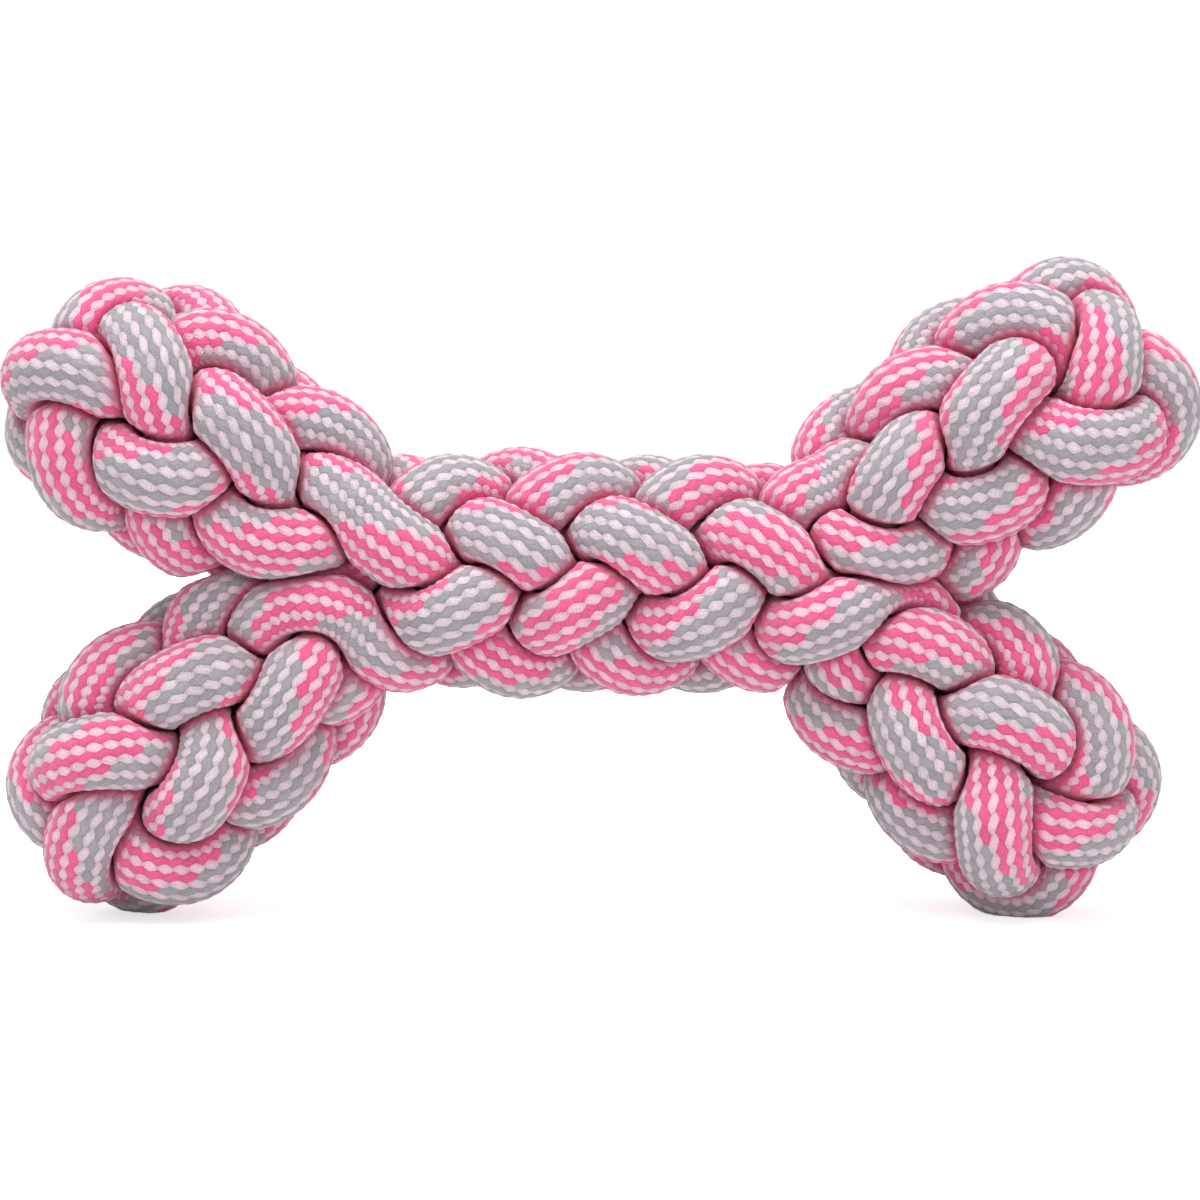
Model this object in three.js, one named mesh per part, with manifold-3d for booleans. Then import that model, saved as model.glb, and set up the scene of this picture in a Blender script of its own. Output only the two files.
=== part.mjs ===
// Rope dog toy: eight cotton cords plaited into a bar. The bar divides at each end into two limbs
// of four cords, and at the end of every limb the cords plait out over a round knob, cross at its
// tip and plait back to the neck, where their tails are tucked in.
// Millimetres, +Z up, the bar along X, standing on the two lower knobs.

import * as THREE from "three";
import { ConvexGeometry } from "three/addons/geometries/ConvexGeometry.js";
import { mergeVertices } from "three/addons/utils/BufferGeometryUtils.js";
import Module from "manifold-3d";

const wasm = await Module();
wasm.setup();

// Driving dimensions of the cord
const cordRadius = 6.2; // free side of a cord, from its middle line
const pressedSpacing = 7.2; // middle line to middle line where two cords press together
const clearance = 1.1; // taken off between two pressed faces, so that about 0.3 stays open everywhere
const dentMargin = 0.3; // room left where one cord is pressed in around another
const ringStep = 4.2; // length of cord between two rings of its surface
const ringSides = 10;
const flatDepth = 1.24; // pressed flat under the lower knobs, a tenth of the cord's width
const standingHeight = 52; // axis of the bar above the floor

// Driving dimensions of the bar
const barHalfLength = 36.5; // from the middle to where the cords divide
const barWallRadius = 8.8; // middle of the plaited wall
const barCrossings = 8; // times that each cord crosses another along the bar

// Driving dimensions of a limb, measured along its axis from where it starts
const neckDistance = 8;
const weaveDistance = 14; // where the plait of a limb is at its full depth
const neckRadius = 7.8;
const knobDistance = 38;
const knobWallRadius = 14.1;
const knobWallHalfLength = 19;
const knobPitch = 20; // surface length in which a cord goes a quarter round the knob
const crownRadius = 9.6; // where the cords leave the wall to cross at the tip
const tailDistance = 8; // where a tail ends inside the limb
const tailWeaveDistance = 15; // where it begins to sink out of the plait
const tailRadius = 1.5;

// Each limb starts beside the middle of the bar and rises or drops from it by its tilt, and its
// neck is drawn out or in by its stretch. The toy is soft, so no two limbs lie quite alike.
const upperLeft = { start: 32, tilt: THREE.MathUtils.degToRad(33), stretch: 1 };
const upperRight = { start: 29.5, tilt: THREE.MathUtils.degToRad(35.5), stretch: 1 };
const lowerLeft = { start: 36, tilt: THREE.MathUtils.degToRad(42.5), stretch: 1.5 };
const lowerRight = { start: 32.5, tilt: THREE.MathUtils.degToRad(46), stretch: -1.5 };

// Shape of the crossings and how firmly the cords settle
const crossingTurn = Math.PI / 4;
const crownTurn = 3 * crossingTurn;
const weaveDepth = pressedSpacing / 2;
const barLobeReach = 2.6; // how far a cord's outer lobes are drawn out along the bar
const barLobeTurn = 0.14; // radians that they are turned towards its direction
const knobLobeReach = 4.6;
const knobLobeTurn = 0.34;
const settleSpacing = pressedSpacing / 3;
const settleRounds = 120;
const pushShare = 0.3;
const smoothShare = 0.4;
const bendReach = 1.4 * cordRadius; // along one cord, what lies nearer doesn't press on itself
const ownReach = 2.8 * cordRadius;
const homeShare = 0.03;
const evenRounds = 10; // rounds after which the points of a cord are spaced evenly again

const cordColours = [0xf2719a, 0xa9a6ac];
const quarter = Math.PI / 2;

// Wall of the bar: angle 0 is at the back (+Y) and a quarter turn is the top (+Z).
function barPoint(family, slot, x) {
  const turn = ((x / barHalfLength) * barCrossings * crossingTurn) / 2;
  const lean = barLobeTurn * Math.cos(4 * turn);
  const angle = slot * quarter + (family > 0 ? crossingTurn : 0) + family * turn + lean;
  const radius = barWallRadius + family * weaveDepth * Math.sin(4 * turn);
  const along = x - family * barLobeReach * Math.cos(4 * turn);
  return new THREE.Vector3(along, radius * Math.cos(angle), radius * Math.sin(angle));
}

// Radius of a knob's wall at a distance along the limb, with the neck running smoothly into it.
function wallRadius(distance) {
  if (distance > knobDistance) {
    const reach = Math.min(1, (distance - knobDistance) / knobWallHalfLength);
    return knobWallRadius * Math.sqrt(1 - reach * reach);
  }
  const swell = THREE.MathUtils.smoothstep(distance, weaveDistance, knobDistance);
  return neckRadius + (knobWallRadius - neckRadius) * swell;
}

// Stations along the wall from the neck to the crown, each with its length of surface so far.
const crownDistance =
  knobDistance + knobWallHalfLength * Math.sqrt(1 - (crownRadius / knobWallRadius) ** 2);
const wallStations = 80;
const wall = [];
for (let i = 0; i <= wallStations; i += 1) {
  const distance = neckDistance + ((crownDistance - neckDistance) * i) / wallStations;
  const radius = wallRadius(distance);
  const last = wall[i - 1] || { distance, radius, travelled: 0 };
  const step = Math.hypot(distance - last.distance, radius - last.radius);
  wall.push({ distance, radius, travelled: last.travelled + step });
}
wall.forEach((station, i) => {
  const before = wall[Math.max(i - 1, 0)];
  const after = wall[Math.min(i + 1, wallStations)];
  const rise = after.radius - before.radius;
  const run = after.distance - before.distance;
  station.outward = new THREE.Vector2(run, -rise).normalize();
  station.turn = (quarter * station.travelled) / knobPitch;
  station.drawn = 1 - THREE.MathUtils.smoothstep(station.distance, knobDistance, crownDistance);
});
const fullTurn = wall[wallStations].turn;

// One cord's way from the neck of a limb over the knob and back, in the limb's own directions.
function limbPath(slot, limb) {
  const axis = new THREE.Vector3(Math.cos(limb.tilt), 0, Math.sin(limb.tilt));
  const side = new THREE.Vector3(0, 1, 0);
  const over = new THREE.Vector3(-Math.sin(limb.tilt), 0, Math.cos(limb.tilt));
  const start = new THREE.Vector3(limb.start, 0, 0);
  const place = (distance, radius, angle) => {
    const drawnOut = limb.stretch * THREE.MathUtils.smoothstep(distance, neckDistance, knobDistance);
    return start
      .clone()
      .addScaledVector(axis, distance + drawnOut)
      .addScaledVector(side, radius * Math.cos(angle))
      .addScaledVector(over, radius * Math.sin(angle));
  };
  const startAngle = (slot - 1.5) * quarter + 1.5 * crossingTurn;
  const points = [];
  for (const { distance, outward, turn, drawn } of wall) {
    const raised = THREE.MathUtils.smoothstep(distance, neckDistance, weaveDistance);
    const phase = 4 * (turn - fullTurn) + quarter;
    const weave = raised * weaveDepth * Math.cos(phase);
    const lobe = raised * drawn * Math.sin(phase);
    const shifted = distance + knobLobeReach * lobe;
    const angle = startAngle + turn - knobLobeTurn * lobe;
    points.push(place(shifted + weave * outward.y, wallRadius(shifted) + weave * outward.x, angle));
  }
  const crownStations = 12;
  const from = new THREE.Vector2(crownRadius, 0);
  const to = from.clone().rotateAround(new THREE.Vector2(), crownTurn);
  for (let i = 1; i < crownStations; i += 1) {
    const along = i / crownStations;
    const chord = from.clone().lerp(to, along);
    const weave = -weaveDepth * Math.sin(2 * Math.PI * along);
    const height = Math.sqrt(1 - (chord.length() / knobWallRadius) ** 2);
    const distance = knobDistance + knobWallHalfLength * height + weave;
    points.push(place(distance, chord.length(), startAngle + fullTurn + chord.angle()));
  }
  for (const { distance, outward, turn, drawn } of [...wall].reverse()) {
    if (distance < tailDistance) break;
    const raised = THREE.MathUtils.smoothstep(distance, tailDistance, tailWeaveDistance);
    const phase = 4 * (turn - fullTurn) + quarter;
    const weave = -raised * weaveDepth * Math.cos(phase);
    const lobe = -raised * drawn * Math.sin(phase);
    const shifted = distance + knobLobeReach * lobe;
    const angle = startAngle + crownTurn + 2 * fullTurn - turn + knobLobeTurn * lobe;
    const radius = tailRadius + (wallRadius(shifted) - tailRadius) * raised;
    points.push(place(shifted + weave * outward.y, radius + weave * outward.x, angle));
  }
  return points;
}

// A limb is worked out for the upper right corner of the toy and half turned to its own corner.
function halfTurned(point, sideX, sideZ) {
  return new THREE.Vector3(point.x * sideX, point.y * sideX * sideZ, point.z * sideZ);
}

function limbFrom(barEnd, sideX) {
  for (const sideZ of [1, -1]) {
    const seen = halfTurned(barEnd, sideX, sideZ);
    const slots = 8;
    const slot = (Math.round(Math.atan2(seen.z, seen.y) / crossingTurn) + slots) % slots;
    if (slot < slots / 2) {
      const [upper, lower] = sideX > 0 ? [upperRight, lowerRight] : [upperLeft, lowerLeft];
      const limb = sideZ > 0 ? upper : lower;
      return limbPath(slot, limb).map((point) => halfTurned(point, sideX, sideZ));
    }
  }
  throw new Error("a cord of the bar reaches no limb");
}

function cordRoute(family, slot) {
  const bar = [];
  const barStations = 48;
  for (let i = 0; i <= barStations; i += 1)
    bar.push(barPoint(family, slot, barHalfLength * ((2 * i) / barStations - 1)));
  const left = limbFrom(bar[0], -1).reverse();
  const right = limbFrom(bar[barStations], 1);
  return [...left, ...bar, ...right];
}

function curveThrough(points) {
  const curve = new THREE.CatmullRomCurve3(points, false, "centripetal");
  curve.arcLengthDivisions = points.length * 8;
  return curve;
}

function spaced(points, step) {
  const curve = curveThrough(points);
  return curve.getSpacedPoints(Math.max(2, Math.round(curve.getLength() / step)));
}

function evened(points) {
  return curveThrough(points).getSpacedPoints(points.length - 1);
}

// Cords press on one another until no two middle lines are closer than the pressed spacing.
function settled(routes) {
  const cords = routes.map((route) => spaced(route, settleSpacing));
  const all = cords.flatMap((cord, cordIndex) =>
    cord.map((point, i) => ({ point, home: point.clone(), push: new THREE.Vector3(), cordIndex, i })),
  );
  const alike = 5; // points of one cord nearer along it than this don't push
  const lowest = cordRadius - flatDepth - standingHeight;
  const apart = new THREE.Vector3();
  for (let round = 0; round < settleRounds; round += 1) {
    all.forEach((a, first) => {
      for (let second = first + 1; second < all.length; second += 1) {
        const b = all[second];
        if (Math.abs(a.point.x - b.point.x) > pressedSpacing) continue;
        if (a.cordIndex === b.cordIndex && b.i - a.i < alike) continue;
        const distance = apart.subVectors(a.point, b.point).length();
        if (distance >= pressedSpacing || distance === 0) continue;
        apart.multiplyScalar((pushShare * (pressedSpacing - distance)) / distance);
        a.push.add(apart);
        b.push.sub(apart);
      }
    });
    for (const { point, push } of all) {
      point.add(push);
      push.set(0, 0, 0);
    }
    for (const cord of cords) {
      const middles = cord.map((point, i) => {
        if (i === 0 || i === cord.length - 1) return point.clone();
        return cord[i - 1].clone().add(cord[i + 1]).multiplyScalar(0.5);
      });
      cord.forEach((point, i) => point.lerp(middles[i], smoothShare));
    }
    for (const { point, home } of all) {
      point.lerp(home, homeShare);
      point.z = Math.max(point.z, lowest);
    }
    if (round % evenRounds !== evenRounds - 1) continue;
    for (const cord of cords) {
      const even = evened(cord);
      cord.forEach((point, i) => point.copy(even[i]));
    }
  }
  return cords;
}

// Surface of a cord: round where it is free, pressed flat midway to every cord that it touches.
function cordGeometry(cords, index) {
  const line = spaced(cords[index], ringStep);
  const pointStep = (ringStep * (line.length - 1)) / (cords[index].length - 1);
  const positions = [];
  const faces = [];
  const normal = new THREE.Vector3(0, 1, 0);
  line.forEach((centre, i) => {
    const before = line[Math.max(i - 1, 0)];
    const after = line[Math.min(i + 1, line.length - 1)];
    const tangent = after.clone().sub(before).normalize();
    normal.addScaledVector(tangent, -normal.dot(tangent)).normalize();
    const across = tangent.clone().cross(normal);
    const pressing = [];
    cords.forEach((cord, other) => {
      cord.forEach((point, j) => {
        const along = Math.abs(j * pointStep - i * ringStep);
        if (other === index && along < bendReach) return;
        const gap = other === index && along < ownReach ? 0 : clearance;
        const offset = point.clone().sub(centre);
        if (offset.length() < 2 * cordRadius + gap) pressing.push({ offset, gap });
      });
    });
    for (let k = 0; k < ringSides; k += 1) {
      const angle = (2 * Math.PI * k) / ringSides;
      const outward = normal.clone().multiplyScalar(Math.cos(angle));
      outward.addScaledVector(across, Math.sin(angle));
      let radius = cordRadius;
      for (const { offset, gap } of pressing) {
        const towards = offset.dot(outward) + gap;
        if (towards > 0) radius = Math.min(radius, (offset.lengthSq() - gap * gap) / (2 * towards));
      }
      positions.push(...centre.clone().addScaledVector(outward, radius).toArray());
    }
  });
  const rings = line.length;
  for (let i = 0; i + 1 < rings; i += 1)
    for (let k = 0; k < ringSides; k += 1) {
      const a = i * ringSides + k;
      const b = i * ringSides + ((k + 1) % ringSides);
      faces.push(a, b, a + ringSides, b, b + ringSides, a + ringSides);
    }
  for (const [ring, end] of [[0, line[0]], [rings - 1, line[rings - 1]]]) {
    const hub = positions.length / 3;
    positions.push(...end.toArray());
    for (let k = 0; k < ringSides; k += 1) {
      const a = ring * ringSides + k;
      const b = ring * ringSides + ((k + 1) % ringSides);
      if (ring === 0) faces.push(hub, b, a);
      else faces.push(hub, a, b);
    }
  }
  const geometry = new THREE.BufferGeometry();
  geometry.setAttribute("position", new THREE.Float32BufferAttribute(positions, 3));
  geometry.setIndex(faces);
  return geometry;
}

function solidOf(geometry) {
  const bare = geometry.clone();
  bare.deleteAttribute("normal");
  bare.deleteAttribute("uv");
  const merged = mergeVertices(bare);
  return new wasm.Manifold(
    new wasm.Mesh({
      numProp: 3,
      vertProperties: new Float32Array(merged.attributes.position.array),
      triVerts: new Uint32Array(merged.index.array),
    }),
  );
}

function geometryOf(solid) {
  const mesh = solid.getMesh();
  const geometry = new THREE.BufferGeometry();
  geometry.setAttribute("position", new THREE.BufferAttribute(mesh.vertProperties, 3));
  geometry.setIndex(new THREE.BufferAttribute(mesh.triVerts, 1));
  return geometry;
}

const sixWays = [1, -1].flatMap((sense) => [
  new THREE.Vector3(sense, 0, 0),
  new THREE.Vector3(0, sense, 0),
  new THREE.Vector3(0, 0, sense),
]);

// Where two cords still meet, the first is pressed in a little around the second.
function pressedIn(solid, other) {
  let pressed = solid;
  for (const meeting of solid.intersect(other).decompose()) {
    const { numVert, vertProperties } = meeting.getMesh();
    const around = [];
    for (let i = 0; i < numVert; i += 1)
      for (const way of sixWays) {
        const point = new THREE.Vector3().fromArray(vertProperties, 3 * i);
        around.push(point.addScaledVector(way, dentMargin));
      }
    pressed = pressed.subtract(solidOf(new ConvexGeometry(around)));
  }
  return pressed.decompose().reduce((most, piece) => (piece.volume() > most.volume() ? piece : most));
}

const routes = [];
for (const family of [1, -1])
  for (let slot = 0; slot < 4; slot += 1) routes.push(cordRoute(family, slot));
const cords = settled(routes);
const geometries = cords.map((cord, index) => cordGeometry(cords, index));

// The toy is set with its middle over the origin and stands on a floor that presses it flat.
const bounds = new THREE.Box3();
for (const { attributes } of geometries)
  bounds.union(new THREE.Box3().setFromBufferAttribute(attributes.position));
const middle = bounds.getCenter(new THREE.Vector3());
const size = bounds.getSize(new THREE.Vector3());
const floor = new THREE.BoxGeometry(2 * size.x, 2 * size.y, 2 * flatDepth);
floor.translate(0, 0, -flatDepth);
const floorSolid = solidOf(floor);
const solids = geometries.map((geometry) => {
  geometry.translate(-middle.x, -middle.y, standingHeight);
  return solidOf(geometry).subtract(floorSolid);
});
solids.forEach((solid, index) => {
  for (const other of solids.slice(index + 1)) solids[index] = pressedIn(solids[index], other);
});

const toy = new THREE.Group();
solids.forEach((solid, index) => {
  const color = cordColours[index % cordColours.length];
  const cotton = new THREE.MeshStandardMaterial({ color, roughness: 0.9, metalness: 0 });
  const cord = new THREE.Mesh(geometryOf(solid), cotton);
  cord.name = `cord_${index + 1}`;
  toy.add(cord);
});

export default toy;
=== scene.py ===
# %% [markdown]
# # A plaited rope dog toy
# The toy is eight braided cotton cords and nothing else. They are plaited together into a thick
# bar, part at each end of it into two limbs, and swell at the end of each limb into a round knob.
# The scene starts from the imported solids, which fix the toy's size and place, and gives every
# cord its own braided surface.

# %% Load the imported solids
import math

import bmesh
import bpy
import numpy as np
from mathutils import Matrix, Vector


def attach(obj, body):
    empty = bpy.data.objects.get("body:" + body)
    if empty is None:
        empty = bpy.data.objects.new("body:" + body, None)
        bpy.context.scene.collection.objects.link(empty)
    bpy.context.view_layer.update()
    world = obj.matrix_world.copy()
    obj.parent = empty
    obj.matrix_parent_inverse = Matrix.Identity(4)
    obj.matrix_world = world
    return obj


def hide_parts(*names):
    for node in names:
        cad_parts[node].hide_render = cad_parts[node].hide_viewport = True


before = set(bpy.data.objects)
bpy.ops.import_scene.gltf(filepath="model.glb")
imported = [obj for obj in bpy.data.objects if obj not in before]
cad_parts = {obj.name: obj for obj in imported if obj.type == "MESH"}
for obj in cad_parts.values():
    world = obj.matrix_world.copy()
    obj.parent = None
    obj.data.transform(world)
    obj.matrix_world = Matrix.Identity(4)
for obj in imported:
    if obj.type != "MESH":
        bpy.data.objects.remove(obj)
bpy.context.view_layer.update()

MM = 0.001

# %% [markdown]
# ## Camera
# The photograph looks straight at the toy from the front and a little from above, from far enough
# away that the knobs in front are hardly larger than those behind. A long lens does the same.
# The toy just fills the width of the square picture, with its bar slightly above the middle.

# %% Camera
FRAME_WIDTH = 183 * MM
AIM_HEIGHT = 48 * MM
CAMERA_RISE = math.radians(4)
LENS = 100
SENSOR = 36

camera_data = bpy.data.cameras.new("camera")
camera_data.lens = LENS
camera_data.sensor_width = SENSOR
camera = bpy.data.objects.new("camera", camera_data)
bpy.context.scene.collection.objects.link(camera)
camera_distance = FRAME_WIDTH * LENS / SENSOR
camera.location = (
    0,
    -camera_distance * math.cos(CAMERA_RISE),
    AIM_HEIGHT + camera_distance * math.sin(CAMERA_RISE),
)
camera.rotation_euler = (math.pi / 2 - CAMERA_RISE, 0, 0)
bpy.context.scene.camera = camera
print("Camera distance in m:", round(camera_distance, 3))

# %% [markdown]
# ## The way of each cord
# Cords in a plait can't be placed one by one: each goes over one neighbour and under the next.
# A route is easier to give as a wall, a tube that the plait would wrap round, and a wave that
# takes the cord out of the wall and back. Two families of four cords run round the wall in
# opposite directions, so their crossings fall in rows. The sizes are those of the solids, in
# millimetres.

# %% Sizes of the cord and the bar
CORD_RADIUS = 6.2
PRESSED_SPACING = 7.2  # between the middle lines of two cords pressed together
FLAT_DEPTH = 1.24  # how much of a cord the floor presses flat
STANDING_HEIGHT = 52  # from the floor to the middle of the bar
BAR_HALF_LENGTH = 36.5
BAR_WALL_RADIUS = 8.8
BAR_CROSSINGS = 8
BAR_STATIONS = 49
CORDS_EACH_WAY = 4
CROSSING_TURN = math.pi / CORDS_EACH_WAY
QUARTER = 2 * CROSSING_TURN
WEAVE_DEPTH = PRESSED_SPACING / 2
LOBE_REACH = 2.6  # shift along the bar that lays each lobe on top more nearly lengthwise
LOBE_TURN = 0.14  # shift round the bar that does the same
print("Cord", 2 * CORD_RADIUS, "mm across, bar", 2 * BAR_HALF_LENGTH, "mm between its ends")


# %% Way of a cord along the bar
def bar_route(family, slot):
    x = np.linspace(-BAR_HALF_LENGTH, BAR_HALF_LENGTH, BAR_STATIONS)
    turn = x / BAR_HALF_LENGTH * BAR_CROSSINGS * CROSSING_TURN / 2
    first = slot * QUARTER + (CROSSING_TURN if family > 0 else 0)
    phase = CORDS_EACH_WAY * turn
    angle = first + family * turn + LOBE_TURN * np.cos(phase)
    radius = BAR_WALL_RADIUS + family * WEAVE_DEPTH * np.sin(phase)
    along = x - family * LOBE_REACH * np.cos(phase)
    return np.stack([along, radius * np.cos(angle), radius * np.sin(angle)], axis=1)


print("A cord crosses the bar in", len(bar_route(1, 0)), "points")

# %% [markdown]
# ## The knobs
# On each limb the wall is a narrow neck that swells into a knob. A cord winds out along it, ducks
# under and over three others in a crown at the tip, and winds back the other way to the neck.
# There its tail sinks into the middle of the limb. On the real toy no end can be seen either.

# %% Sizes of a limb
NECK_DISTANCE = 8  # from the start of the limb to where its wall begins
WEAVE_DISTANCE = 14  # to where its cords weave at full depth and the wall begins to swell
NECK_RADIUS = 7.8
KNOB_DISTANCE = 38  # to the widest part of the knob
KNOB_WALL_RADIUS = 14.1
KNOB_WALL_HALF_LENGTH = 19
KNOB_PITCH = 20  # length of wall in which a cord turns a quarter round
KNOB_LOBE_REACH = 4.6  # shifts of the lobes, as on the bar
KNOB_LOBE_TURN = 0.34
CROWN_RADIUS = 9.6  # where the cords leave the wall to cross at the tip
CROWN_TURN = 3 * CROSSING_TURN
TAIL_DISTANCE = 8  # where a tail ends inside the limb
TAIL_WEAVE_DISTANCE = 15  # where it begins to sink out of the plait
TAIL_RADIUS = 1.5  # how near the middle of the limb it ends
MIDDLE_SLOT = (CORDS_EACH_WAY - 1) / 2
LIMBS = {
    (-1, 1): {"start": 32, "lift": math.radians(33), "stretch": 1},
    (1, 1): {"start": 29.5, "lift": math.radians(35.5), "stretch": 1},
    (-1, -1): {"start": 36, "lift": math.radians(42.5), "stretch": 1.5},
    (1, -1): {"start": 32.5, "lift": math.radians(46), "stretch": -1.5},
}
WALL_STATIONS = 80
CROWN_STATIONS = 12


def smoothstep(x, low, high):
    share = np.clip((x - low) / (high - low), 0, 1)
    return share * share * (3 - 2 * share)


def knob_height(radius):
    return KNOB_WALL_HALF_LENGTH * np.sqrt(1 - (radius / KNOB_WALL_RADIUS) ** 2)


def wall_radius(distance):
    reach = np.clip((distance - KNOB_DISTANCE) / KNOB_WALL_HALF_LENGTH, 0, 1)
    swell = smoothstep(distance, WEAVE_DISTANCE, KNOB_DISTANCE)
    neck = NECK_RADIUS + (KNOB_WALL_RADIUS - NECK_RADIUS) * swell
    return np.where(distance > KNOB_DISTANCE, KNOB_WALL_RADIUS * np.sqrt(1 - reach**2), neck)


CROWN_DISTANCE = KNOB_DISTANCE + knob_height(CROWN_RADIUS)
print("Knob wall", 2 * KNOB_WALL_RADIUS, "mm across, crown at", round(float(CROWN_DISTANCE), 1))

# %% Wall of a limb, from the neck to the crown
wall = np.linspace(NECK_DISTANCE, CROWN_DISTANCE, WALL_STATIONS + 1)
wall_radii = wall_radius(wall)
steps = np.hypot(np.diff(wall), np.diff(wall_radii))
wall_turn = QUARTER * np.concatenate([[0], np.cumsum(steps)]) / KNOB_PITCH
full_turn = wall_turn[-1]
ends = np.arange(WALL_STATIONS + 1)
after = np.minimum(ends + 1, WALL_STATIONS)
before = np.maximum(ends - 1, 0)
wall_run = wall[after] - wall[before]
wall_rise = wall_radii[after] - wall_radii[before]
wall_slope = np.hypot(wall_run, wall_rise)
wall_drawn = 1 - smoothstep(wall, KNOB_DISTANCE, CROWN_DISTANCE)
wall_raised = smoothstep(wall, NECK_DISTANCE, WEAVE_DISTANCE)
tail_raised = smoothstep(wall, TAIL_DISTANCE, TAIL_WEAVE_DISTANCE)
wall_phase = CORDS_EACH_WAY * (wall_turn - full_turn) + QUARTER
print("A cord turns", round(math.degrees(full_turn)), "degrees round the limb before the crown")


# %% Way of a cord out over a knob and back
def on_limb(limb, distance, radius, angle):
    axis = np.array([math.cos(limb["lift"]), 0, math.sin(limb["lift"])])
    over = np.array([-math.sin(limb["lift"]), 0, math.cos(limb["lift"])])
    side = np.array([0, 1, 0])
    out = distance + limb["stretch"] * smoothstep(distance, NECK_DISTANCE, KNOB_DISTANCE)
    points = out[:, None] * axis + (radius * np.cos(angle))[:, None] * side
    return points + (radius * np.sin(angle))[:, None] * over + np.array([limb["start"], 0, 0])


def wound(limb, start_angle, turn, sense, raised, sunk):
    weave = sense * raised * WEAVE_DEPTH * np.cos(wall_phase)
    lobe = sense * raised * wall_drawn * np.sin(wall_phase)
    shifted = wall + KNOB_LOBE_REACH * lobe
    radius = TAIL_RADIUS + (wall_radius(shifted) - TAIL_RADIUS) * (1 - sunk)
    angle = start_angle + turn - sense * KNOB_LOBE_TURN * lobe
    distance = shifted - weave * wall_rise / wall_slope
    return on_limb(limb, distance, radius + weave * wall_run / wall_slope, angle)


def limb_route(slot, limb):
    start_angle = (slot - MIDDLE_SLOT) * QUARTER + MIDDLE_SLOT * CROSSING_TURN
    outward = wound(limb, start_angle, wall_turn, 1, wall_raised, 0)
    share = np.arange(1, CROWN_STATIONS) / CROWN_STATIONS
    far = CROWN_RADIUS * np.array([math.cos(CROWN_TURN), math.sin(CROWN_TURN)])
    chord = np.outer(1 - share, [CROWN_RADIUS, 0]) + np.outer(share, far)
    radius = np.hypot(chord[:, 0], chord[:, 1])
    crown_weave = -WEAVE_DEPTH * np.sin(2 * math.pi * share)
    crown = on_limb(
        limb,
        KNOB_DISTANCE + knob_height(radius) + crown_weave,
        radius,
        start_angle + full_turn + np.arctan2(chord[:, 1], chord[:, 0]),
    )
    turned_back = CROWN_TURN + 2 * full_turn - wall_turn
    inward = wound(limb, start_angle, turned_back, -1, tail_raised, 1 - tail_raised)
    return np.concatenate([outward, crown, inward[wall >= TAIL_DISTANCE][::-1]])


print("A knob takes", len(limb_route(0, LIMBS[1, 1])), "points of each cord")


# %% [markdown]
# ## Eight whole cords
# The four limbs are half turns of one another, apart from the angle and length of each, so one
# rule gives them all. A cord leaves each end of the bar at one of eight places round it: the upper
# four places lead to the upper limb and the lower four to the lower limb.

# %% Whole cords
def half_turned(points, side_x, side_z):
    return points * np.array([side_x, side_x * side_z, side_z])


def limb_from(bar_end, side_x):
    for side_z in (1, -1):
        seen = half_turned(bar_end, side_x, side_z)
        slot = round(math.atan2(seen[2], seen[1]) / CROSSING_TURN) % (2 * CORDS_EACH_WAY)
        if slot < CORDS_EACH_WAY:
            return half_turned(limb_route(slot, LIMBS[side_x, side_z]), side_x, side_z)


def cord_route(family, slot):
    bar = bar_route(family, slot)
    return np.concatenate([limb_from(bar[0], -1)[::-1], bar, limb_from(bar[-1], 1)])


routes = [cord_route(family, slot) for family in (1, -1) for slot in range(CORDS_EACH_WAY)]
print("Whole cords:", len(routes))


# %% [markdown]
# ## Settling
# Soft cords pull tight until they press on one another everywhere. Each route is laid out in even
# steps along a smooth curve. Then, over and over, points of different cords that are too close
# move apart, and every cord straightens a little, stays near where it was and stays above the
# floor. Every few rounds the points of each cord are laid out evenly again, or they would bunch.

# %% Even steps along a curve through points
FINE_STEPS = 8


def step_lengths(points):
    return np.linalg.norm(np.diff(points, axis=0), axis=1)


def spaced(points, step, steps=None):
    ghosts = [2 * points[:1] - points[1:2], points, 2 * points[-1:] - points[-2:-1]]
    points = np.concatenate(ghosts)
    spans = len(points) - 3

    def at(t):
        span = np.minimum(t.astype(int), spans - 1)
        share = (t - span)[:, None]
        a, b, c, d = (points[span + i] for i in range(4))
        ab, bc, cd = (
            np.linalg.norm(q - p, axis=1, keepdims=True) ** 0.5
            for p, q in ((a, b), (b, c), (c, d))
        )
        into = bc * ((b - a) / ab - (c - a) / (ab + bc)) + (c - b)
        out = bc * ((d - c) / cd - (d - b) / (bc + cd)) + (c - b)
        bend = 3 * (c - b) - 2 * into - out
        return b + share * (into + share * (bend + share * (2 * (b - c) + into + out)))

    fine = np.linspace(0, spans, FINE_STEPS * (spans + 1) + 1)
    travelled = np.concatenate([[0], np.cumsum(step_lengths(at(fine)))])
    steps = steps or max(2, round(travelled[-1] / step))
    return at(np.interp(np.linspace(0, travelled[-1], steps + 1), travelled, fine))


print("Length of cord 1 in mm:", round(step_lengths(spaced(routes[0], 1)).sum()))

# %% Settle the cords
SETTLE_SPACING = PRESSED_SPACING / 3
SETTLE_ROUNDS = 120
PUSH_SHARE = 0.3
SMOOTH_SHARE = 0.4
HOME_SHARE = 0.03
EVEN_ROUNDS = 10
SEARCH_ROUNDS = 8
SEARCH_REACH = 2 * PRESSED_SPACING
OWN_STEPS = 5  # points of one cord push each other only from this many steps apart

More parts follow.
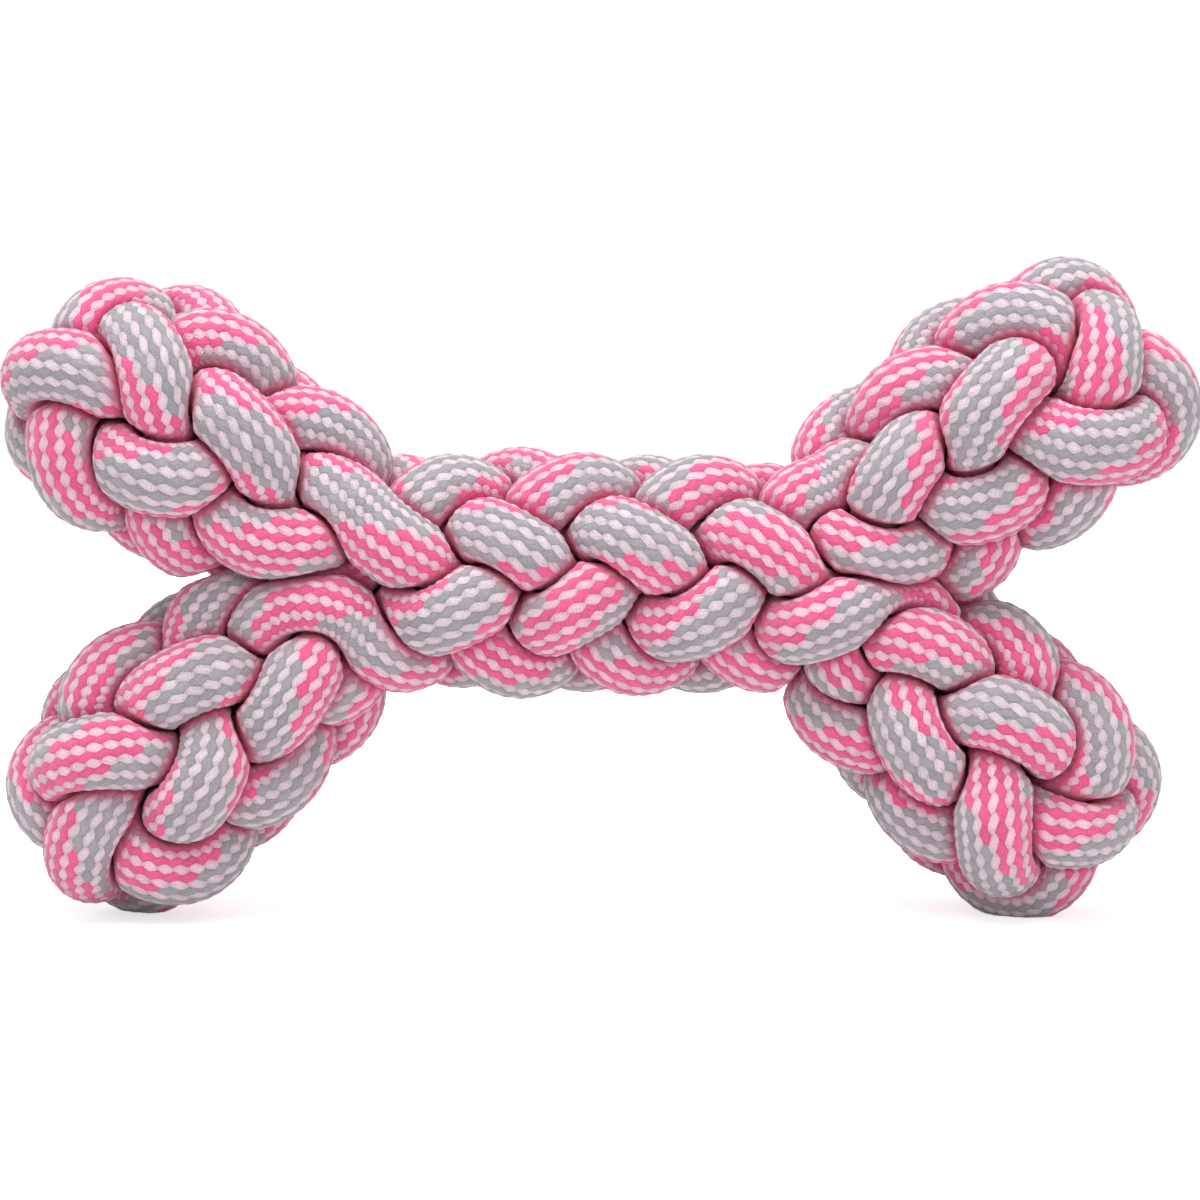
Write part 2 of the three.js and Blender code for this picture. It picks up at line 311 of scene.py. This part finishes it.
cords = [spaced(route, SETTLE_SPACING) for route in routes]
cord_of = np.concatenate([np.full(len(cord), i) for i, cord in enumerate(cords)])
order = np.concatenate([np.arange(len(cord)) for cord in cords])
points = np.concatenate(cords)
home = points.copy()
inner = np.flatnonzero((cord_of[1:-1] == cord_of[:-2]) & (cord_of[1:-1] == cord_of[2:])) + 1
lowest = CORD_RADIUS - FLAT_DEPTH - STANDING_HEIGHT
for settle_round in range(SETTLE_ROUNDS):
    if settle_round % SEARCH_ROUNDS == 0:
        gaps = np.linalg.norm(points[:, None] - points[None], axis=2)
        own = cord_of[:, None] == cord_of[None]
        own &= abs(order[:, None] - order[None]) < OWN_STEPS
        first, second = np.nonzero(np.triu((gaps < SEARCH_REACH) & ~own, 1))
    apart = points[first] - points[second]
    gap = np.linalg.norm(apart, axis=1)
    push = apart * (PUSH_SHARE * np.clip(PRESSED_SPACING - gap, 0, None) / gap)[:, None]
    np.add.at(points, first, push)
    np.subtract.at(points, second, push)
    middles = (points[inner - 1] + points[inner + 1]) / 2
    points[inner] += SMOOTH_SHARE * (middles - points[inner])
    points += HOME_SHARE * (home - points)
    points[:, 2] = np.maximum(points[:, 2], lowest)
    if settle_round % EVEN_ROUNDS == EVEN_ROUNDS - 1:
        for i, cord in enumerate(cords):
            points[cord_of == i] = spaced(points[cord_of == i], SETTLE_SPACING, len(cord) - 1)
cords = [points[cord_of == i] for i in range(len(cords))]
print("Settled", len(points), "points")

# %% [markdown]
# ## The braid of one cord
# Each cord is a tube braided from 32 columns of stitches that run along it. White yarns make
# every second column and lean one way. Coloured yarns make the columns between and lean the
# other way, half of them pink and half grey, so the colours lie along the cord in slanting
# patches. A stitch is a low dome, and where two domes meet the higher one is seen. The
# same rule shapes the mesh here and colours it in the material. Cotton isn't wound by a ruler, so
# the columns and the stitches waver a little.

# %% Sizes of the braid
COLUMNS = 32
STITCH_LENGTH = 1.55
STITCH_LEAN = 0.22
STITCH_SIDE_FALL = 1.0  # how steeply a dome falls off to its sides
WHITE_END_FALL = 2.6  # and to the ends of a white stitch
COLOURED_END_FALL = 1.4
STITCH_RELIEF = 0.5
MEAN_HEIGHT = 0.75
HALF_STITCH = 0.5  # how far coloured stitches lie on from the white ones
CARRIERS = 16  # spools that the coloured yarns come from
PINK_CARRIERS = CARRIERS / 2
CARRIER_STEP = 2
SIDE_WAVER = 0.12
LONG_WAVER = 0.3
SIDE_WAVER_TURNS = 3
LONG_WAVER_TURNS = 2
SIDE_WAVER_PACE = 0.9
LONG_WAVER_PACE = 0.37
ONCE_ROUND = 2 * math.pi / COLUMNS


def wavered(across, along):
    side_wave = np.sin(SIDE_WAVER_TURNS * ONCE_ROUND * across + SIDE_WAVER_PACE * along)
    long_wave = np.sin(LONG_WAVER_TURNS * ONCE_ROUND * across + LONG_WAVER_PACE * along)
    return across + SIDE_WAVER * side_wave, along + LONG_WAVER * long_wave


def stitch_height(side, along, lean, end_fall):
    place = along + lean * side
    end = place - np.round(place)
    return 1 - STITCH_SIDE_FALL * side**2 - end_fall * end**2


def braid_height(across, along):
    across, along = wavered(across, along)
    from_white = across - 2 * np.round(across / 2)
    from_coloured = across - 2 * np.floor(across / 2) - 1
    white = stitch_height(from_white, along, -STITCH_LEAN, WHITE_END_FALL)
    coloured = stitch_height(from_coloured, along + HALF_STITCH, STITCH_LEAN, COLOURED_END_FALL)
    return np.maximum(white, coloured)


print("Stitch:", STITCH_LENGTH, "mm long,", round(2 * math.pi * CORD_RADIUS / COLUMNS, 2), "wide")

# %% [markdown]
# ## The skin of a cord
# The mesh starts as a flat grid, one edge along the cord and one round it, and each row of the
# grid is laid as a ring round the cord's middle line. Where the cord is free the ring is
# round. Where another cord presses on it, the ring goes no further than half way to that
# cord's middle line, worked out for every direction at once and softened so that no hard edge
# is left between the pressed and the free side. On the inside of a bend a ring also keeps clear
# of the rings beside it. How near the next cord is, from 0 in the open to 1 where they touch, is
# kept at each vertex as "fold", the mask for the painted shade in the folds. Last, the domes of
# the stitches are added.

# %% Rings of one cord
RING_SPACING = 0.34
RING_SIDES = 64
LINE_PASSES = 40  # rounds of smoothing that take the corners out of the middle line
CLEARANCE = 0.35  # left open between two cords
BEND_REACH = 1.4 * CORD_RADIUS  # nearer along itself, a cord never presses on its own rings
OWN_REACH = 2.8 * CORD_RADIUS  # nearer along itself, it does so without a clearance
BEND_KEPT = 0.72  # share of the radius of a bend that a ring may fill on the inside
LEAST_RELIEF = 0.15  # share of the relief that is left on the inside of the sharpest bend
SOFTNESS = 14  # the higher, the harder the edge of a pressed side
FOLD_REACH = 3  # gap between two cords past which there is no fold
FOLD_FADE = 0.6  # gap at which a fold has faded to about a third
TINY = 1e-6


def carried_normals(tangents):
    normal = np.array([0.0, 1, 0])
    normals = []
    for tangent in tangents:
        normal = normal - normal.dot(tangent) * tangent
        normal /= np.linalg.norm(normal)
        normals.append(normal)
    return np.array(normals)


def middle_line(index):
    line = spaced(cords[index], RING_SPACING)
    for _ in range(LINE_PASSES):
        line[1:-1] = (line[:-2] + 2 * line[1:-1] + line[2:]) / 4
    return line


def pressed_ring(outward, inward, offsets, own):
    reach = np.linalg.norm(offsets, axis=1)
    near = (reach < 2 * CORD_RADIUS + FOLD_REACH) & (own > BEND_REACH)
    reach = reach[near]
    gap = np.where(own[near] < OWN_REACH, 0, CLEARANCE)
    ahead = outward @ offsets[near].T
    pressed = (reach**2 - gap**2) / (2 * np.maximum(ahead + gap, TINY))
    crowded = np.maximum(inward, TINY) / BEND_KEPT
    limits = np.column_stack([np.full(len(inward), 1 / CORD_RADIUS), crowded, 1 / pressed])
    radius = (limits**SOFTNESS).sum(axis=1) ** (-1 / SOFTNESS)
    away = reach**2 - 2 * radius[:, None] * ahead + radius[:, None] ** 2
    room = np.sqrt(away.min(axis=1, initial=(CORD_RADIUS + FOLD_REACH) ** 2)) - CORD_RADIUS
    return radius, np.exp(-np.maximum(room, 0) / FOLD_FADE)


def cord_rings(index):
    line = middle_line(index)
    tangents = np.gradient(line, axis=0)
    tangents /= np.linalg.norm(tangents, axis=1, keepdims=True)
    normals = carried_normals(tangents)
    across = np.cross(tangents, normals)
    angles = np.linspace(0, 2 * math.pi, RING_SIDES + 1)
    round_ways = np.stack([np.cos(angles), np.sin(angles)])
    along = np.arange(len(line)) * RING_SPACING
    settled_step = along[-1] / (len(cords[index]) - 1)
    bends = np.gradient(tangents, axis=0) / RING_SPACING
    skin = np.empty((len(line), RING_SIDES + 1, 3))
    fold = np.empty((len(line), RING_SIDES + 1))
    for ring, centre in enumerate(line):
        outward = round_ways.T @ np.stack([normals[ring], across[ring]])
        inward = outward @ bends[ring]
        own = np.where(cord_of == index, abs(order * settled_step - along[ring]), np.inf)
        radius, fold[ring] = pressed_ring(outward, inward, points - centre, own)
        height = braid_height(angles / (2 * math.pi) * COLUMNS, along[ring] / STITCH_LENGTH)
        relief = STITCH_RELIEF * np.clip(1 - radius * inward, LEAST_RELIEF, 1)
        radius += relief * (height - MEAN_HEIGHT)
        skin[ring] = centre + outward * radius[:, None]
    skin[:, :, 2] = np.maximum(skin[:, :, 2], -STANDING_HEIGHT)
    return skin, fold, along


skins = [cord_rings(index) for index in range(len(cords))]
print("Rings on the cords:", [len(skin) for skin, fold, along in skins])


# %% Mesh of one cord
SEAM_GAP = 1e-5 * MM
HALF_GRID = 0.5


def braided_cord(index, skin, fold, along):
    rings = len(skin)
    shape = bmesh.new()
    uv = shape.loops.layers.uv.new("braid")
    depth = shape.verts.layers.float.new("fold")
    bmesh.ops.create_grid(
        shape, x_segments=RING_SIDES, y_segments=rings - 1, size=HALF_GRID, calc_uvs=True
    )
    for face in shape.faces:
        for loop in face.loops:
            loop[uv].uv.y *= along[-1]
    grid = np.array([vertex.co[:] for vertex in shape.verts])
    side = np.rint((grid[:, 0] + HALF_GRID) * RING_SIDES).astype(int)
    ring = np.rint((grid[:, 1] + HALF_GRID) * (rings - 1)).astype(int)
    for vertex, place, share in zip(shape.verts, skin[ring, side], fold[ring, side]):
        vertex.co = place
        vertex[depth] = share
    shape.verts.ensure_lookup_table()
    seam = [shape.verts[i] for i in np.flatnonzero((side == 0) | (side == RING_SIDES))]
    bmesh.ops.remove_doubles(shape, verts=seam, dist=SEAM_GAP)
    rims = [edge for edge in shape.edges if edge.is_boundary]
    bmesh.ops.holes_fill(shape, edges=rims, sides=0)
    bmesh.ops.recalc_face_normals(shape, faces=shape.faces)
    for face in shape.faces:
        face.smooth = True
    mesh = bpy.data.meshes.new(f"braided_cord_{index + 1}")
    shape.to_mesh(mesh)
    shape.free()
    cord = bpy.data.objects.new(mesh.name, mesh)
    bpy.context.scene.collection.objects.link(cord)
    return cord


corners = np.concatenate([skin.reshape(-1, 3) for skin, fold, along in skins])
middle = (corners.min(axis=0) + corners.max(axis=0)) / 2
to_floor = np.array([-middle[0], -middle[1], STANDING_HEIGHT])
toy = [
    braided_cord(index, (skin + to_floor) * MM, fold, along)
    for index, (skin, fold, along) in enumerate(skins)
]
print("Triangles:", [len(cord.data.polygons) * 2 for cord in toy])

# %% [markdown]
# ## The yarns
# The material repeats the rule of the stitches from the cord's own UV map, whose x goes once round
# the cord and whose y runs along it in millimetres. So every colour sits on its own dome. The
# coloured yarns count round 16 carriers, and two carriers further in each next column: that
# gives the patches their slant. The valleys between stitches are painted a little darker, a
# painted shade for the little light that gets in. White yarn is painted with a little of the
# colour of the yarns beside it, a painted glow of light that comes through and off the coloured
# cotton.

# %% Colours and tones of the yarns
PINK = (0.76, 0.10, 0.26, 1)
GREY = (0.33, 0.31, 0.335, 1)
WHITE = (0.80, 0.66, 0.73, 1)
# painted shade and painted bounced pink light in the folds between cords
FOLD_SHADE_COLOUR = (0.80, 0.08, 0.26, 1)
FOLD_SHADE_STRENGTH = 0.75
# painted light: the white yarn takes on the colour of light coming through and off the yarns
# beside it
BOUNCED_LIGHT_SHARE = 0.3  # share of the colour beside it that a white yarn takes on
# painted shade: the tone left at the bottom of a valley between stitches
VALLEY_SHADE = 0.6
STITCH_TONE = 0.16  # how much lighter the lightest stitch is than the darkest
FIBRES_ACROSS = 4
FIBRES_ALONG = 1.5
FIBRE_DETAIL = 3
FIBRE_TONE = 1.1
FUZZ_PER_METRE = 3600
FUZZ_DETAIL = 2
FUZZ_SHARE = 0.6
print("A patch of pink is", round(PINK_CARRIERS * STITCH_LENGTH, 1), "mm long")


# %% Sums in a node tree
def sum_in(tree, operation, *values):
    node = tree.nodes.new("ShaderNodeMath")
    node.operation = operation
    for socket, value in zip(node.inputs, values):
        if isinstance(value, bpy.types.NodeSocket):
            tree.links.new(value, socket)
        else:
            socket.default_value = value
    return node.outputs[0]


def mixed_colour(tree, share, low, high, blend="MIX"):
    node = tree.nodes.new("ShaderNodeMix")
    node.data_type = "RGBA"
    node.blend_type = blend
    for name, value in (("Factor_Float", share), ("A_Color", low), ("B_Color", high)):
        socket = next(s for s in node.inputs if s.identifier == name)
        if isinstance(value, bpy.types.NodeSocket):
            tree.links.new(value, socket)
        else:
            socket.default_value = value
    return next(s for s in node.outputs if s.identifier == "Result_Color")


print("Helpers for sums and mixed colours are ready")


# %% Stitches in a node tree
def wavered_nodes(tree, across, along):
    wavered = []
    for value, size, turns, pace in (
        (across, SIDE_WAVER, SIDE_WAVER_TURNS, SIDE_WAVER_PACE),
        (along, LONG_WAVER, LONG_WAVER_TURNS, LONG_WAVER_PACE),
    ):
        phase = sum_in(tree, "MULTIPLY", across, turns * ONCE_ROUND)
        phase = sum_in(tree, "MULTIPLY_ADD", along, pace, phase)
        wavered.append(sum_in(tree, "MULTIPLY_ADD", sum_in(tree, "SINE", phase), size, value))
    return wavered


def stitch_nodes(tree, across, along, centre, lean, end_fall):
    side = sum_in(tree, "SUBTRACT", across, centre)
    place = sum_in(tree, "MULTIPLY_ADD", side, lean, along)
    number = sum_in(tree, "ROUND", place)
    end = sum_in(tree, "SUBTRACT", place, number)
    side_fall = sum_in(tree, "MULTIPLY", sum_in(tree, "MULTIPLY", side, side), -STITCH_SIDE_FALL)
    fallen = sum_in(tree, "MULTIPLY_ADD", sum_in(tree, "MULTIPLY", end, end), -end_fall, side_fall)
    height = sum_in(tree, "ADD", fallen, 1)
    strand = sum_in(tree, "MULTIPLY_ADD", end, math.copysign(1, lean), side)
    return {"height": height, "number": number, "strand": strand, "end": end, "centre": centre}


print("Helpers for the stitches are ready")

# %% [markdown]
# ## Fibres, fuzz and painted fold shade
# Two finer things make it cotton, and a third is painted light. The fibres of a yarn run along
# the stitch, so their noise is laid along it. Loose fuzz is an even fine noise. And in the folds
# between two cords the light has bounced off so much pink cotton that even grey yarn looks wine
# red, so the material paints that shade and bounced light into the colour by the "fold" attribute.

# %% Braided cotton
BUMP_DEPTH = 0.35 * MM
STITCH_BUMP = 0.5
COTTON_FINISH = {
    "Roughness": 0.95,
    "Specular IOR Level": 0.2,
    "Sheen Weight": 0.35,
    "Sheen Roughness": 0.6,
}


def picked(tree, share, low, high):
    return sum_in(tree, "MULTIPLY_ADD", sum_in(tree, "SUBTRACT", high, low), share, low)


def noise_in(tree, vector, scale, detail):
    noise = tree.nodes.new("ShaderNodeTexNoise")
    noise.inputs["Scale"].default_value = scale
    noise.inputs["Detail"].default_value = detail
    tree.links.new(vector, noise.inputs["Vector"])
    return noise.outputs[0]


def place_in(tree, *values):
    place = tree.nodes.new("ShaderNodeCombineXYZ")
    for socket, value in zip(place.inputs, values):
        tree.links.new(value, socket)
    return place.outputs[0]


def braid_nodes(tree):
    uv = tree.nodes.new("ShaderNodeUVMap")
    uv.uv_map = "braid"
    place = tree.nodes.new("ShaderNodeSeparateXYZ")
    tree.links.new(uv.outputs["UV"], place.inputs[0])
    across = sum_in(tree, "MULTIPLY", place.outputs["X"], COLUMNS)
    along = sum_in(tree, "DIVIDE", place.outputs["Y"], STITCH_LENGTH)
    across, along = wavered_nodes(tree, across, along)
    pair = sum_in(tree, "MULTIPLY", across, 0.5)
    white_centre = sum_in(tree, "MULTIPLY", sum_in(tree, "ROUND", pair), 2)
    column = sum_in(tree, "FLOOR", pair)
    coloured_centre = sum_in(tree, "MULTIPLY_ADD", column, 2, 1)
    white = stitch_nodes(tree, across, along, white_centre, -STITCH_LEAN, WHITE_END_FALL)
    half_on = sum_in(tree, "ADD", along, HALF_STITCH)
    coloured = stitch_nodes(
        tree, across, half_on, coloured_centre, STITCH_LEAN, COLOURED_END_FALL
    )
    is_white = sum_in(tree, "GREATER_THAN", white["height"], coloured["height"])
    seen = {name: picked(tree, is_white, coloured[name], white[name]) for name in white}
    carrier = sum_in(tree, "MULTIPLY_ADD", column, CARRIER_STEP, coloured["number"])
    carrier = sum_in(tree, "FLOORED_MODULO", carrier, CARRIERS)
    is_pink = sum_in(tree, "LESS_THAN", carrier, PINK_CARRIERS - 0.5)
    colour = mixed_colour(tree, is_pink, GREY, PINK)
    # painted light: white yarn gets a share of the neighbouring colour, for light through and off
    # the coloured cotton
    white_with_bounced_light = mixed_colour(tree, BOUNCED_LIGHT_SHARE, WHITE, colour)
    return seen, mixed_colour(tree, is_white, colour, white_with_bounced_light)


def braided_cotton():
    material = bpy.data.materials.new("braided_cotton")
    material.use_nodes = True
    tree = material.node_tree
    cotton = tree.nodes["Principled BSDF"]
    seen, yarn = braid_nodes(tree)

    strand = sum_in(tree, "MULTIPLY", seen["strand"], FIBRES_ACROSS)
    length = sum_in(tree, "MULTIPLY", seen["end"], FIBRES_ALONG)
    home = sum_in(tree, "FLOORED_MODULO", seen["centre"], COLUMNS)
    stitch = sum_in(tree, "MULTIPLY_ADD", home, CARRIERS, seen["number"])
    fibres = noise_in(tree, place_in(tree, strand, length, stitch), 1, FIBRE_DETAIL)
    place = tree.nodes.new("ShaderNodeTexCoord").outputs["Object"]
    fuzz = noise_in(tree, place, FUZZ_PER_METRE, FUZZ_DETAIL)
    cotton_height = picked(tree, FUZZ_SHARE, fibres, fuzz)
    shade = tree.nodes.new("ShaderNodeTexWhiteNoise")
    shade.noise_dimensions = "2D"
    tree.links.new(place_in(tree, home, seen["number"]), shade.inputs["Vector"])

    # painted shade darkens the valleys between stitches; the stitch and fibre noise add real
    # random tone
    shade_and_tone = sum_in(tree, "MULTIPLY_ADD", seen["height"], 1 - VALLEY_SHADE, VALLEY_SHADE)
    for value, size in ((shade.outputs["Value"], STITCH_TONE), (cotton_height, FIBRE_TONE)):
        shade_and_tone = sum_in(tree, "ADD", shade_and_tone, sum_in(tree, "MULTIPLY_ADD", value, size, -size / 2))
    grey = tree.nodes.new("ShaderNodeCombineColor")
    for socket in grey.inputs:
        tree.links.new(shade_and_tone, socket)
    shaded = mixed_colour(tree, 1, yarn, grey.outputs[0], "MULTIPLY")
    # painted shade and painted bounced pink light in the folds, laid on by the fold mask
    fold = tree.nodes.new("ShaderNodeAttribute")
    fold.attribute_name = "fold"
    share = sum_in(tree, "MULTIPLY", fold.outputs["Fac"], FOLD_SHADE_STRENGTH)
    fold_shaded = mixed_colour(tree, share, shaded, FOLD_SHADE_COLOUR)
    tree.links.new(fold_shaded, cotton.inputs["Base Color"])

    bump = tree.nodes.new("ShaderNodeBump")
    bump.inputs["Strength"].default_value = 1
    bump.inputs["Distance"].default_value = BUMP_DEPTH
    raised = sum_in(tree, "MULTIPLY_ADD", seen["height"], STITCH_BUMP, cotton_height)
    tree.links.new(raised, bump.inputs["Height"])
    tree.links.new(bump.outputs[0], cotton.inputs["Normal"])
    for name, value in COTTON_FINISH.items():
        cotton.inputs[name].default_value = value
    return material


cotton = braided_cotton()
for index, cord in enumerate(toy):
    cord.data.materials.append(cotton)
    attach(cord, "root")
    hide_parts(f"cord_{index + 1}")
print("Nodes in the cotton:", len(cotton.node_tree.nodes))

# %% [markdown]
# ## Floor and light
# The toy stands on white paper that runs out of the picture. The paper looks white to the camera
# because it glows a little for the rays that the camera sees, straight on or in a shine. So its
# shadow still shows and no extra light falls on the toy. A wide lamp above and in front gives the
# soft light of the photograph, smaller ones light the front and the back, and the bright
# surroundings fill the shadows.

# %% Floor
FLOOR_SIZE = 4
FLOOR_GLOW = 0.6
PAPER_COLOUR = (0.86, 0.85, 0.86, 1)
PURE_WHITE = (1, 1, 1, 1)


def seen_glow(tree, strength):
    path = tree.nodes.new("ShaderNodeLightPath")
    seen = sum_in(tree, "MAXIMUM", path.outputs["Is Camera Ray"], path.outputs["Is Glossy Ray"])
    seen = sum_in(tree, "MAXIMUM", seen, path.outputs["Is Transmission Ray"])
    return sum_in(tree, "MULTIPLY", seen, strength)


shape = bmesh.new()
bmesh.ops.create_grid(shape, x_segments=1, y_segments=1, size=FLOOR_SIZE / 2)
floor_mesh = bpy.data.meshes.new("floor")
shape.to_mesh(floor_mesh)
shape.free()
floor = bpy.data.objects.new("floor", floor_mesh)
bpy.context.scene.collection.objects.link(floor)
paper = bpy.data.materials.new("paper")
paper.use_nodes = True
surface = paper.node_tree.nodes["Principled BSDF"]
surface.inputs["Base Color"].default_value = PAPER_COLOUR
surface.inputs["Roughness"].default_value = 1
surface.inputs["Emission Color"].default_value = PURE_WHITE
glow = seen_glow(paper.node_tree, FLOOR_GLOW)
paper.node_tree.links.new(glow, surface.inputs["Emission Strength"])
floor_mesh.materials.append(paper)
print("Floor", FLOOR_SIZE, "m wide")

# %% Surroundings and lamps
ROOM_STRENGTH = 0.5
LAMPS = {
    "top_lamp": {"place": (-0.1, -0.2, 0.85), "size": 0.7, "power": 7.5},
    "front_lamp": {"place": (0.3, -0.9, 0.3), "size": 0.5, "power": 2.2},
    "rear_lamp": {"place": (-0.3, 0.9, 0.3), "size": 0.5, "power": 2.2},
}

world = bpy.data.worlds.new("room")
bpy.context.scene.world = world
world.use_nodes = True
background = world.node_tree.nodes["Background"]
background.inputs["Color"].default_value = PURE_WHITE
glow = seen_glow(world.node_tree, 1 - ROOM_STRENGTH)
room_strength = sum_in(world.node_tree, "ADD", glow, ROOM_STRENGTH)
world.node_tree.links.new(room_strength, background.inputs["Strength"])


def soft_lamp(name, place, size, power):
    lamp = bpy.data.lights.new(name, "AREA")
    lamp.shape = "DISK"
    lamp.size = size
    lamp.energy = power
    holder = bpy.data.objects.new(name, lamp)
    holder.location = place
    aim = Vector((0, 0, STANDING_HEIGHT * MM)) - holder.location
    holder.rotation_euler = aim.to_track_quat("-Z", "Y").to_euler()
    bpy.context.scene.collection.objects.link(holder)


for name, lamp in LAMPS.items():
    soft_lamp(name, **lamp)
bpy.context.scene.view_settings.view_transform = "Standard"
